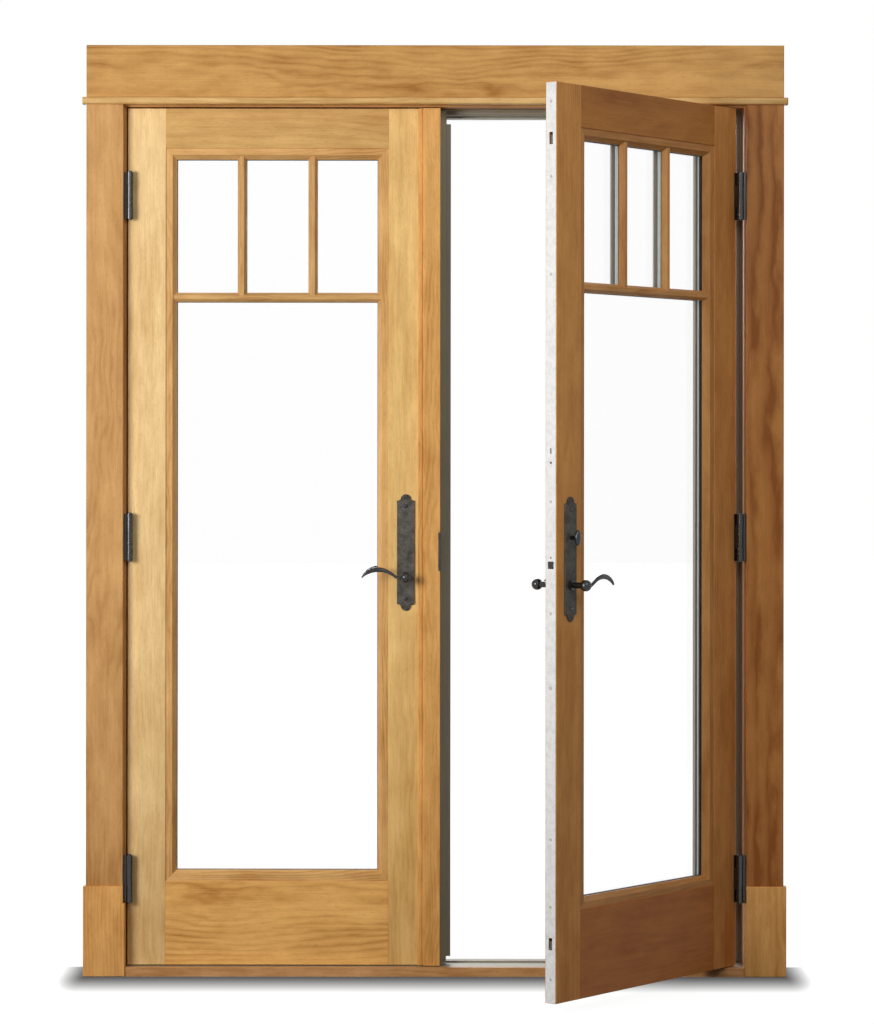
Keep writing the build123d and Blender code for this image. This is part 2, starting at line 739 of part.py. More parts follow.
def strip_marks(ends):
    """Pairs of shallow slots near both ends of the strip."""
    width, height = strip_mark_size
    depth = (strip_face, strip_face + strip_mark_depth)
    marks = []
    for inset in strip_mark_insets:
        for level in (ends[0] + inset, ends[1] - inset):
            for y in (strip_middle - strip_mark_offset, strip_middle + strip_mark_offset):
                width_y = (y - width / 2, y + width / 2)
                marks.append(block(depth, width_y, (level - height / 2, level + height / 2)))
    return marks


def lock_parts():
    spare = 2 * bolt_slot_clearance
    deep = (strip_face - overcut, strip_back + overcut)
    strip_z = (panel_bottom + strip_margin, panel_top - strip_margin)
    strip_y = (strip_middle - strip_width / 2, strip_middle + strip_width / 2)
    strip = block((strip_face, strip_back), strip_y, strip_z)
    groove = block((lock_edge, strip_back), strip_y, strip_z)
    case_y = (strip_middle - case_thickness / 2, strip_middle + case_thickness / 2)
    case_x = (strip_back, strip_back + case_depth)
    case = block(case_x, case_y, (case_low, case_high))
    stile_cuts = [groove, block((case_x[0], case_x[1] + case_end_clearance), case_y, (case_low, case_high))]
    case -= rod_y(case_spindle_radius, handle_x, case_y, lever_level)
    turn_hole_y = (case_y[0], case_y[0] + turn_hole_depth)
    case -= rod_y(turn_stem_radius + bolt_slot_clearance, handle_x, turn_hole_y, turn_level)
    case -= slot_hole(latch_level, latch_width + spare, latch_height + spare,
                      (strip_back, strip_back + latch_channel_depth))

    strip -= slot_hole(latch_level, latch_width + spare, latch_height + spare, deep)
    gear_x = (strip_face, strip_face + gear_hole_depth)
    gear_holes = [
        slot_hole(cam_level, cam_slot[0], cam_slot[1], gear_x),
        rod_x(cam_hole_radius, gear_x, strip_middle, cam_hole_level),
        rod_x(pinhole_radius, gear_x, strip_middle, pinhole_level),
    ]
    strip = without(strip, gear_holes + strip_marks(strip_z))
    case = without(case, gear_holes)
    hooks = []
    for level in hook_levels:
        strip -= slot_hole(level, hook_slot_width, hook_slot_height, deep)
        room = 2 * hook_mortise_clearance
        stile_cuts.append(slot_hole(level, hook_slot_width + room, hook_slot_height + room,
                                    (strip_back, strip_back + hook_mortise_depth)))
        tip = strip_face + hook_sunk
        nose = slot_hole(level - hook_drop, hook_width, hook_height, (tip, tip + hook_nose))
        tail_x = (tip + hook_nose, tip + hook_length)
        hooks.append(nose + slot_hole(level, hook_slot_width - spare, hook_slot_height - spare, tail_x))

    levels = [panel_bottom + inset for inset in strip_foot_screws]
    levels += [lever_level + offset for offset in strip_lock_screws]
    levels += [panel_top - inset for inset in strip_head_screws]
    screws, bores = [], []
    for level in levels:
        seat = strip_face + screw_head_depth
        tip = strip_face + screw_length
        head = rod_x(screw_head_radius, (strip_face + screw_clearance, seat), strip_middle, level)
        screws.append(head + rod_x(screw_shank_radius, (seat, tip), strip_middle, level))
        strip -= rod_x(screw_head_radius + screw_clearance, (strip_face, seat), strip_middle, level)
        bore_radius = screw_shank_radius + screw_clearance
        bores.append(rod_x(bore_radius, (strip_face, tip + overcut), strip_middle, level))
    strip = without(strip, bores)
    case = without(case, bores)
    latch_x = (strip_face - latch_proud, strip_face - latch_proud + latch_length)
    latch = slot_hole(latch_level, latch_width, latch_height, latch_x)
    latch = chamfer([e for e in latch.edges() if abs(e.center().X - latch_x[0]) < 0.01], eased_edge)
    parts = {"lock_edge_strip": strip, "lock_case": case}
    return parts, latch, hooks, screws, stile_cuts + bores


# Meeting edge of the passive panel: astragal, its olive channel and flange, strikes and shoot bolts
def astragal_parts():
    height = (panel_bottom, panel_top)
    outer = -astragal_edge
    proud = panel_face - astragal_proud
    lip = lock_edge + astragal_lip
    crown = panel_face - astragal_bead_rise
    bead_end = lip - astragal_bead
    outline = [
        (lip, panel_face), (lip, crown + astragal_lip_bevel), (lip - astragal_lip_bevel, crown),
        (bead_end, crown), (bead_end - astragal_groove, crown + astragal_groove),
        (bead_end - 2 * astragal_groove, crown),
        (bead_end - 2 * astragal_groove - astragal_bead_step, proud), (outer, proud), (outer, panel_back),
        (lock_edge, panel_back), (lock_edge, panel_face),
    ]
    wood = upright(outline, height)
    upright_edges = [e for e in wood.edges() if e.bounding_box().size.Z > strike_height]
    corners = [e for e in upright_edges if abs(e.center().Y - proud) < 0.01]
    wood = fillet(corners, casing_edge)
    channel = block((outer - channel_width, outer), (panel_back - channel_depth, panel_back),
                    (height[0] + strip_margin, height[1] - strip_margin))
    channel_corner = [e for e in front_edges(channel, panel_back - channel_depth)
                      if e.center().X < outer - channel_width + channel_bevel]
    channel = chamfer(channel_corner, channel_bevel)
    flange_z = (height[0] + flange_foot_inset, height[1] - flange_head_inset)
    flange = block((outer - flange_reach, lock_edge + flange_back),
                   (panel_back, panel_back + flange_thickness), flange_z)
    strikes = []
    spare = 2 * bolt_slot_clearance
    inward = (outer - strike_proud - overcut, outer + hook_reach)
    pocket = slot_hole(latch_level, latch_width + spare, latch_height + spare, inward)
    plate_x = (outer - strike_proud, outer - strike_proud + strike_thickness)
    strike_y = (proud - strike_lip_proud, strip_middle + strike_width / 2)
    strike_z = (strike_level - strike_height / 2, strike_level + strike_height / 2)
    latch_strike = block(plate_x, strike_y, strike_z)
    lip_x = (plate_x[0], outer + strike_lip_width)
    latch_strike += block(lip_x, (strike_y[0], strike_y[0] + strike_thickness), strike_z)
    wood = wood - latch_strike - pocket
    strikes.append(latch_strike - pocket)
    for level in hook_levels:
        pocket = slot_hole(level - hook_drop, hook_width + spare, hook_height + spare, inward)
        strike_x = (outer, outer + hook_strike_thickness)
        hook_strike = slot_hole(level, strike_width, hook_strike_height, strike_x)
        wood = wood - hook_strike - pocket
        strikes.append(hook_strike - pocket)
    return {
        "astragal": wood,
        "exterior_astragal": gather([channel, flange]),
        "strike_plates": gather(strikes),
    }


def shoot_bolts():
    """The passive panel's head and foot bolts, drawn back inside the stile, and their bores."""
    x = lock_edge + bolt_setback
    head_z = (panel_top - bolt_sunk - bolt_length, panel_top - bolt_sunk)
    foot_z = (panel_bottom + bolt_sunk, panel_bottom + bolt_sunk + bolt_length)
    bolts, bores = [], []
    for low, high in (head_z, foot_z):
        bolts.append(rod_z(bolt_radius, x, strip_middle, (low, high)))
    room = bolt_radius + bolt_clearance
    bores.append(rod_z(room, x, strip_middle, (head_z[0] - bolt_bore_extra, panel_top)))
    bores.append(rod_z(room, x, strip_middle, (panel_bottom, foot_z[1] + bolt_bore_extra)))
    return bolts, bores


# Assembly
def cut_lock_side(parts, cuts):
    """Take holes from the meeting stile and from the cladding behind it."""
    parts["lock_stile"] = without(parts["lock_stile"], cuts)
    cladding = [without(solid, cuts) for solid in parts["cladding"].solids()]
    parts["cladding"] = gather(cladding)


def passive_panel():
    parts = panel_parts(False)
    handles, screws, screw_holes, holes = handle_parts(False)
    bolts, bores = shoot_bolts()
    cut_lock_side(parts, screw_holes + holes + bores)
    parts.update(handles)
    parts.update(levers())
    parts["screws"] = gather(screws)
    parts["head_bolt"], parts["foot_bolt"] = bolts
    named = {"left_" + name: shape for name, shape in parts.items()}
    named.update(astragal_parts())
    return {name: mirrored(shape) for name, shape in named.items()}


def active_panel():
    parts = panel_parts(True)
    handles, screws, screw_holes, holes = handle_parts(True)
    lock, latch, hooks, strip_screws, cuts = lock_parts()
    cut_lock_side(parts, screw_holes + holes + cuts)
    parts.update(handles)
    parts.update(levers())
    parts["screws"] = gather(screws + strip_screws)
    named = {"right_" + name: shape for name, shape in parts.items()}
    lock["lock_case"] = without(lock["lock_case"], screw_holes)
    named.update(lock)
    named["latch_bolt"] = latch
    named["hook_bolts"] = gather(hooks)
    named["thumb_turn"] = thumb_turn()
    swing = Pos(pin_x, pin_y, 0) * Rot(0, 0, open_angle) * Pos(-pin_x, -pin_y, 0)
    return {name: swing * shape for name, shape in named.items()}


def frame_hinges():
    leaves, pins = [], []
    for level in hinge_levels:
        jamb_leaf, pin, door_leaf = hinge(level)
        leaves += [jamb_leaf, mirrored(jamb_leaf)]
        pins += [pin, mirrored(pin)]
    return {"hinge_jamb_leaves": gather(leaves), "hinge_pins": gather(pins)}


parts = {}
parts.update(casing_parts())
parts.update(jamb_parts())
parts.update(exterior_frame())
parts["exterior_sill"] = gather([parts["exterior_sill"], parts.pop("sill_cover")])
parts["frame_weatherstrip"] = gather(weatherstrips())
parts.update(frame_hinges())
parts.update(passive_panel())
parts.update(active_panel())

os.makedirs("parts", exist_ok=True)
for name, shape in parts.items():
    export_step(gather([shape]), f"parts/{name}.step")
print(len(parts), "nodes")
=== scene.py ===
import json
import math
import bmesh
import bpy
from mathutils import Matrix, Vector


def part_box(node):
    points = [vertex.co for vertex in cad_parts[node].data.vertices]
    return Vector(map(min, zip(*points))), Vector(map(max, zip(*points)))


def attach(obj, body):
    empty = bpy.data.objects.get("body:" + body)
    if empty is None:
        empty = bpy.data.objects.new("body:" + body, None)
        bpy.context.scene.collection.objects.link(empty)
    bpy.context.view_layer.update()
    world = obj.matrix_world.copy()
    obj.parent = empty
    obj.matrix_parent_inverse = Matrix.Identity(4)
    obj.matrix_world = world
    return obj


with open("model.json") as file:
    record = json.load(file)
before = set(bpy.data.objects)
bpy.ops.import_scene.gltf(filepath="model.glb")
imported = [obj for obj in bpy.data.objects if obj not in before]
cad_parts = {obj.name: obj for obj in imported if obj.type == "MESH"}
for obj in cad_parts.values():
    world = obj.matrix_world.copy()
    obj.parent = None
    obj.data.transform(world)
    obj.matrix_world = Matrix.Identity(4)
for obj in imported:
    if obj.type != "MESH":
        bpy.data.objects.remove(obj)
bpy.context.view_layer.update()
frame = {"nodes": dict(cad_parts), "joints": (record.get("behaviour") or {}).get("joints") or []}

# Metres. X runs across the doorway, Y = 0 is the wall face with the room on the -Y side, Z = 0 is the floor.

# Camera, set to the photo's perspective
CAMERA_PLACE = (0.0046, -7.37, 1.180)
CAMERA_ROLL = math.radians(-0.05)
CAMERA_SENSOR = 36.0
CAMERA_LENS = 112.7
CAMERA_REACH = 100.0
HORIZON_SHIFT = -0.0488

# Lamps: place, aim, size, power, and spread in degrees
LAMPS = {
    "key": ((-2.7, -3.2, 1.7), (-0.1, 0.0, 1.4), (1.6, 1.6), 57.0, 120.0),
    "fill": ((1.2, -3.0, 2.9), (0.3, 0.0, 1.5), (2.2, 1.6), 32.0, 180.0),
    "back": ((-0.6, 4.0, 2.4), (0.0, 0.0, 1.1), (2.4, 1.8), 75.0, 180.0),
}

# World: its light on the object, and the white that is seen
AMBIENT = 0.17
WHITE = (1.0, 1.0, 1.0, 1.0)

# Floor: half of its side, and its tone in the painted contact shadow at the frame's foot and elsewhere
FLOOR_HALF = 30.0
FLOOR_DARK = 0.02
FLOOR_PALE = 0.2
FLOOR_ROUGHNESS = 0.9

# Contact shadow painted on the floor before the frame's foot and beside it: where the foot is, how far the
# shadow reaches, the power of its fade, and the white left where it is darkest
FOOT_HALF_WIDTH = 0.80
FOOT_FRONT = -0.022
FOOT_BACK = 0.12
FOOT_SHADOW_ASIDE = 0.06
FOOT_SHADOW_AHEAD = 0.22
FOOT_SHADOW_FADE = 1.5
FOOT_SHADOW_WHITE = 0.1

# Share of the floor's white that is real light, so that the object casts a faint shadow, and how far out
FLOOR_SHADOW_SHARE = 0.08
FLOOR_SHADOW_REACH = 4.0
FLOOR_SHADOW_EDGE = ((0.5, 1.0), (1.0, 0.0))

# The active panel stands open about its hinge pins, and shuts at the lower limit of its joint
active_swing = next(joint for joint in frame["joints"] if joint["name"] == "active_swing")
PIN = Vector((*active_swing["pos_m"][:2], 0.0))
OPEN_ANGLE = -math.radians(active_swing["range_deg"][0])

# Sockets of the mix node, whose names repeat for each kind of value
MIX_FACTOR = 0
MIX_NUMBERS = (2, 3)
MIX_COLOURS = (6, 7)
MIX_COLOUR_OUT = 2


def closed_place(point):
    """A point of the open panel, put back to where it is with the panel shut."""
    return PIN + Matrix.Rotation(-OPEN_ANGLE, 3, "Z") @ (point - PIN)


def open_place(point):
    """A point of the shut panel, moved to where it is with the panel open."""
    return PIN + Matrix.Rotation(OPEN_ANGLE, 3, "Z") @ (point - PIN)


# Colours
def linear(rgb):
    """An sRGB colour of 0 to 255 as the linear colour that shaders take."""
    out = []
    for value in rgb:
        v = value / 255.0
        out.append(v / 12.92 if v <= 0.04045 else ((v + 0.055) / 1.055) ** 2.4)
    return (*out, 1.0)


def scaled(colour, gains):
    """A linear colour with its red, green and blue scaled, up to 1."""
    return (*(min(value * gain, 1.0) for value, gain in zip(colour, gains)), 1.0)


def grey(value):
    return (value, value, value, 1.0)


class Graph:
    """The shader nodes of a new material, and calls that add and link them."""

    def __init__(self, name):
        self.material = bpy.data.materials.new(name)
        self.material.use_nodes = True
        self.nodes = self.material.node_tree.nodes
        self.links = self.material.node_tree.links
        self.shader = self.nodes["Principled BSDF"]
        self.output = self.nodes["Material Output"]

    def feed(self, socket, value):
        """Links a socket to the one given, or sets it to the value given."""
        if isinstance(value, bpy.types.NodeSocket):
            self.links.new(value, socket)
        else:
            socket.default_value = value

    def add(self, kind, **inputs):
        node = self.nodes.new(kind)
        for key, value in inputs.items():
            self.feed(node.inputs[key.replace("_", " ")], value)
        return node

    def surface(self, **inputs):
        """Feeds the material's own shader."""
        for key, value in inputs.items():
            self.feed(self.shader.inputs[key.replace("_", " ")], value)

    def bump(self, height, distance, strength):
        node = self.add("ShaderNodeBump", Height=height, Distance=distance, Strength=strength)
        self.surface(Normal=node.outputs["Normal"])

    def math(self, operation, a, b=0.0, clamp=False):
        node = self.nodes.new("ShaderNodeMath")
        node.operation = operation
        node.use_clamp = clamp
        self.feed(node.inputs[0], a)
        self.feed(node.inputs[1], b)
        return node.outputs[0]

    def plus(self, a, b, clamp=False):
        return self.math("ADD", a, b, clamp)

    def minus(self, a, b):
        return self.math("SUBTRACT", a, b)

    def times(self, a, b):
        return self.math("MULTIPLY", a, b)

    def over(self, a, b):
        return self.math("DIVIDE", a, b)

    def squares(self, a, b):
        return self.plus(self.times(a, a), self.times(b, b))

    def distance(self, a, b, clamp=False):
        return self.math("SQRT", self.squares(a, b), clamp=clamp)

    def centred(self, value, weight):
        """A noise value as a swing of the given weight about 0."""
        return self.times(self.minus(value, 0.5), weight)

    def mix(self, factor, a, b):
        node = self.nodes.new("ShaderNodeMix")
        node.data_type = "RGBA"
        self.feed(node.inputs[MIX_FACTOR], factor)
        for socket, colour in zip(MIX_COLOURS, (a, b)):
            self.feed(node.inputs[socket], colour)
        return node.outputs[MIX_COLOUR_OUT]

    def ramp(self, factor, stops):
        """Grey levels between stops, each a position and a level."""
        node = self.add("ShaderNodeValToRGB", Fac=factor)
        elements = node.color_ramp.elements
        for element, (position, level) in zip(elements, (stops[0], stops[-1])):
            element.position = position
            element.color = grey(level)
        for position, level in stops[1:-1]:
            elements.new(position).color = grey(level)
        return node.outputs["Color"]

    def noise(self, vector, scale, detail, roughness):
        node = self.add("ShaderNodeTexNoise", Vector=vector, Scale=scale, Detail=detail, Roughness=roughness)
        return node.outputs["Fac"]

    def place(self):
        """The point that is shaded, in the object's own metres."""
        return self.nodes.new("ShaderNodeTexCoord").outputs["Object"]

    def split(self, vector):
        return self.add("ShaderNodeSeparateXYZ", Vector=vector).outputs

    def join(self, x, y, z):
        return self.add("ShaderNodeCombineXYZ", X=x, Y=y, Z=z).outputs["Vector"]


# Wood: noises drawn out along the board, each with its scale across and along, seed step and detail
GRAIN = {
    "drift": (3.0, 0.9, 0.0, 2.0),
    "bend": (9.0, 3.2, 5.0, 3.0),
    "mottling": (12.0, 3.0, 9.0, 3.0),
    "clouds": (40.0, 13.0, 11.0, 5.0),
    "streaks": (75.0, 1.4, 13.0, 3.0),
    "fibres": (520.0, 9.0, 17.0, 4.0),
    "flecks": (900.0, 80.0, 21.0, 1.0),
}
GRAIN_ROUGHNESS = 0.55

# How far the noises push the growth rings aside, in metres, and the clouds as a share of a ring
DRIFT_PUSH = 0.16
BEND_PUSH = 0.05
CLOUD_PUSH = 0.8

# Shade over one growth ring, and where the mottling lets the rings show
RING_SHADE = ((0.0, 0.45), (0.25, 0.0), (0.5, 0.15), (0.85, 1.0), (1.0, 0.45))
RING_PATCHES = ((0.36, 0.1), (0.62, 1.0))

# Shade of the finish, from 0 pale to 1 deep: its middle, what the bands take off it, and each noise's weight.
# Painted shade, deeper toward an upright board's foot, is strongest at the foot and gone at 0.9 m.
SHADE_MIDDLE = 0.34
SHADE_OFF_BANDS = 0.2
MOTTLE_WEIGHTS = {"mottling": 0.8, "clouds": 0.9, "streaks": 0.4}
FIBRE_WEIGHT = 0.6
FOOT_SHADE_HEIGHTS = ((0.0, 1.0), (0.9, 0.0))

# Red, green and blue of the palest and deepest finish, as shares of the board's colour
PALE_GAINS = (1.20, 1.27, 1.42)
DEEP_GAINS = (0.62, 0.48, 0.30)

FLECK_EDGE = ((0.60, 0.0), (0.74, 1.0))
FLECK_DEPTH = 0.45
WOOD_ROUGHNESS = 0.36
WOOD_FIBRE_ROUGHNESS = 0.2
WOOD_SPECULAR = 0.2
WOOD_BUMP = (0.0002, 0.4)


def board_coordinates(graph, level, turned):
    """Across, depth and along a board that lies level or stands upright.

    turned is for the open panel's boards, which are measured from its pin with its turn undone."""
    place = graph.place()
    if turned:
        from_pin = graph.nodes.new("ShaderNodeVectorMath")
        from_pin.operation = "SUBTRACT"
        graph.feed(from_pin.inputs[0], place)
        graph.feed(from_pin.inputs[1], PIN)
        spin = graph.add("ShaderNodeVectorRotate", Vector=from_pin.outputs["Vector"], Angle=-OPEN_ANGLE)
        spin.rotation_type = "Z_AXIS"
        place = spin.outputs["Vector"]
    x, y, z = graph.split(place)
    return (z, y, x) if level else (x, y, z)


def drawn_out(graph, place, seed, across_scale, along_scale, seed_step, detail):
    """Noise drawn out along the board."""
    across, depth, along = place
    shifted = graph.plus(graph.times(along, along_scale), seed + seed_step)
    spot = graph.join(graph.times(across, across_scale), graph.times(depth, across_scale), shifted)
    return graph.noise(spot, 1.0, detail, GRAIN_ROUGHNESS)


def swirl(graph, across, along, knot):
    """How far a knot pushes the growth rings aside."""
    knot_along, knot_across, reach_along, reach_across, push = knot
    a = graph.over(graph.minus(along, knot_along), reach_along)
    b = graph.over(graph.minus(across, knot_across), reach_across)
    fall = graph.math("POWER", math.e, graph.times(graph.squares(a, b), -1.0))
    return graph.times(fall, push)


def growth_rings(graph, place, noises, heart, ring, knots):
    """Shade of the rings round the heart line, from 0 to 1."""
    across, depth, along = place
    heart_across, heart_depth = heart
    u = graph.plus(graph.minus(across, heart_across), graph.centred(noises["drift"], DRIFT_PUSH))
    for knot in knots:
        u = graph.plus(u, swirl(graph, across, along, knot))
    v = graph.plus(graph.minus(depth, heart_depth), graph.centred(noises["bend"], BEND_PUSH))
    radius = graph.plus(graph.distance(u, v), graph.centred(noises["clouds"], ring * CLOUD_PUSH))
    phase = graph.math("FRACT", graph.over(radius, ring))
    return graph.times(graph.ramp(phase, RING_SHADE), graph.ramp(noises["mottling"], RING_PATCHES))


def finish_shade(graph, rings, along, noises, bands, mottle, amber):
    """How deep the finish is, from 0 to 1."""
    shade = graph.plus(graph.times(rings, bands), SHADE_MIDDLE - bands * SHADE_OFF_BANDS)
    # Painted shade: the finish deepens toward an upright board's foot.
    if amber:
        shade = graph.plus(shade, graph.times(graph.ramp(along, FOOT_SHADE_HEIGHTS), amber))
    for layer, weight in MOTTLE_WEIGHTS.items():
        shade = graph.plus(shade, graph.centred(noises[layer], weight * mottle))
    return graph.plus(shade, graph.centred(noises["fibres"], FIBRE_WEIGHT), clamp=True)


def wood(name, colour, heart, level=False, turned=False, ring=0.009, bands=0.3, mottle=1.0, seed=0.0,
         amber=0.0, knots=()):
    """Clear-finished pine: soft growth rings about a heart line, long streaks, mottling and dark flecks.

    ring is the width of a growth ring. bands, mottle and amber are how strongly the rings, the mottling and
    the painted shade at an upright board's foot show. A knot has its place along and across, its reach along
    and across, and how far it pushes the rings."""
    graph = Graph(name)
    place = board_coordinates(graph, level, turned)
    noises = {layer: drawn_out(graph, place, seed, *settings) for layer, settings in GRAIN.items()}
    rings = growth_rings(graph, place, noises, heart, ring, knots)
    shade = finish_shade(graph, rings, place[-1], noises, bands, mottle, amber)
    pale = scaled(linear(colour), PALE_GAINS)
    deep = scaled(linear(colour), DEEP_GAINS)
    flecks = graph.times(graph.ramp(noises["flecks"], FLECK_EDGE), FLECK_DEPTH)
    graph.surface(Base_Color=graph.mix(flecks, graph.mix(shade, pale, deep), deep),
                  Roughness=graph.plus(WOOD_ROUGHNESS, graph.times(noises["fibres"], WOOD_FIBRE_ROUGHNESS)),
                  Specular_IOR_Level=WOOD_SPECULAR)
    graph.bump(graph.minus(noises["fibres"], flecks), *WOOD_BUMP)
    return graph.material


# Paint. A noise here and below has its scale, detail and roughness, and a bump its distance and strength.
PAINT_SKIN = (350.0, 2.0, 0.5)
PAINT_PATCHES = (3.0, 3.0, 0.55)
PAINT_PATCH_EDGE = ((0.35, 0.0), (0.7, 1.0))
PAINT_SKIN_ROUGHNESS = 0.12
PAINT_BUMP = (0.0001, 0.35)


def painted(name, colour, worn, roughness):
    """Factory paint on the exterior frame: nearly even, with a fine orange-peel skin."""
    graph = Graph(name)
    place = graph.place()
    skin = graph.noise(place, *PAINT_SKIN)
    patches = graph.ramp(graph.noise(place, *PAINT_PATCHES), PAINT_PATCH_EDGE)
    graph.surface(Base_Color=graph.mix(patches, linear(colour), linear(worn)),
                  Roughness=graph.plus(roughness, graph.times(skin, PAINT_SKIN_ROUGHNESS)))
    graph.bump(skin, *PAINT_BUMP)
    return graph.material


# Bronze: pits of the cast skin, edges rubbed bright, and how evenly both are rubbed
BRONZE_PITS = (330.0, 5.0, 0.7)
BRONZE_PIT_EDGE = ((0.50, 0.0), (0.66, 1.0))
BRONZE_EDGES = ((0.52, 0.0), (0.6, 0.7))
BRONZE_RUBBING = (60.0, 4.0, 0.6)
BRONZE_RUB_EDGE = ((0.3, 0.35), (0.7, 1.0))
BRONZE_METALLIC = 0.1
BRONZE_PIT_ROUGHNESS = 0.14
BRONZE_PIT_DEPTH = 0.0005


def bronze(name, dark, rubbed, texture, roughness, specular):
    """Dark bronze: a pitted cast skin, with paler rubbed high spots."""
    graph = Graph(name)
    place = graph.place()
    pits = graph.noise(place, *BRONZE_PITS)
    rubbing = graph.ramp(graph.noise(place, *BRONZE_RUBBING), BRONZE_RUB_EDGE)
    pointed = graph.nodes.new("ShaderNodeNewGeometry").outputs["Pointiness"]
    high_spots = graph.plus(graph.times(graph.ramp(pits, BRONZE_PIT_EDGE), texture),
                            graph.ramp(pointed, BRONZE_EDGES), clamp=True)
    graph.surface(Base_Color=graph.mix(graph.times(high_spots, rubbing), linear(dark), linear(rubbed)),
                  Metallic=BRONZE_METALLIC, Specular_IOR_Level=specular,
                  Roughness=graph.plus(roughness, graph.times(pits, BRONZE_PIT_ROUGHNESS)))
    graph.bump(pits, BRONZE_PIT_DEPTH, texture)
    return graph.material


# Plated metal: brushing that runs up the strip, and cloudy plating
BRUSH_ACROSS = 900.0
BRUSH_ALONG = 12.0
BRUSHING = (1.0, 3.0, 0.6)
PLATING_CLOUDS = (70.0, 5.0, 0.65)
PLATING_CLOUD_EDGE = ((0.42, 0.0), (0.68, 1.0))
PLATING_DIM_GAINS = (0.68, 0.68, 0.68)
BRUSH_ROUGHNESS = 0.15
BRUSH_BUMP = (0.00005, 0.4)


def brushed(name, colour, roughness, metallic, streak):
    """Plated strip and spacer metal with faint lengthwise brushing.

    streak is how much the brushing and the clouds dim it."""
    graph = Graph(name)
    place = graph.place()
    x, y, z = graph.split(place)
    across = [graph.times(axis, BRUSH_ACROSS) for axis in (x, y)]
    lines = graph.join(*across, graph.times(z, BRUSH_ALONG))
    brushing = graph.noise(lines, *BRUSHING)
    clouds = graph.ramp(graph.noise(place, *PLATING_CLOUDS), PLATING_CLOUD_EDGE)
    dimming = graph.plus(graph.times(brushing, streak), graph.times(clouds, streak))
    bright = linear(colour)
    dim = scaled(bright, PLATING_DIM_GAINS)
    graph.surface(Base_Color=graph.mix(dimming, bright, dim), Metallic=metallic,
                  Roughness=graph.plus(roughness, graph.times(brushing, BRUSH_ROUGHNESS)))
    graph.bump(brushing, *BRUSH_BUMP)
    return graph.material


RUBBER_GRAIN = (900.0, 2.0, 0.5)
RUBBER_ROUGHNESS = 0.8
RUBBER_BUMP = (0.0001, 0.3)


def rubber(name, colour, dusty):
    """Matt rubber or sealant with a fine dusty grain."""
    graph = Graph(name)
    grain = graph.noise(graph.place(), *RUBBER_GRAIN)
    graph.surface(Base_Color=graph.mix(grain, linear(colour), linear(dusty)), Roughness=RUBBER_ROUGHNESS)
    graph.bump(grain, *RUBBER_BUMP)
    return graph.material


GLASS_IOR = 1.45
GLASS_SMEARS = (5.0, 2.0, 0.5)
GLASS_SMEAR_ROUGHNESS = 0.05


def glass(name):
    """Thin clear panes: light goes straight through, and each front surface reflects by Fresnel."""
    graph = Graph(name)
    graph.nodes.remove(graph.shader)
    clear = graph.add("ShaderNodeBsdfTransparent", Color=WHITE)
    smears = graph.times(graph.noise(graph.place(), *GLASS_SMEARS), GLASS_SMEAR_ROUGHNESS)
    gloss = graph.add("ShaderNodeBsdfGlossy", Roughness=smears)
    fresnel = graph.add("ShaderNodeFresnel", IOR=GLASS_IOR).outputs[0]
    front = graph.minus(1.0, graph.nodes.new("ShaderNodeNewGeometry").outputs["Backfacing"])
    shine = graph.times(fresnel, front)
    mixed = graph.nodes.new("ShaderNodeMixShader")
    for socket, value in zip(mixed.inputs, (shine, clear.outputs[0], gloss.outputs[0])):
        graph.feed(socket, value)
    graph.feed(graph.output.inputs["Surface"], mixed.outputs[0])
    return graph.material


def paint(node, material):
    """Gives a CAD node its one material."""
    mesh = frame["nodes"][node].data
    mesh.materials.clear()
    mesh.materials.append(material)


def paint_some(node, material, chosen):
    """Gives a second material to the faces of a CAD node whose middle is chosen."""
    mesh = frame["nodes"][node].data
    mesh.materials.append(material)
    for polygon in mesh.polygons:
        if chosen(polygon.center):
            polygon.material_index = 1
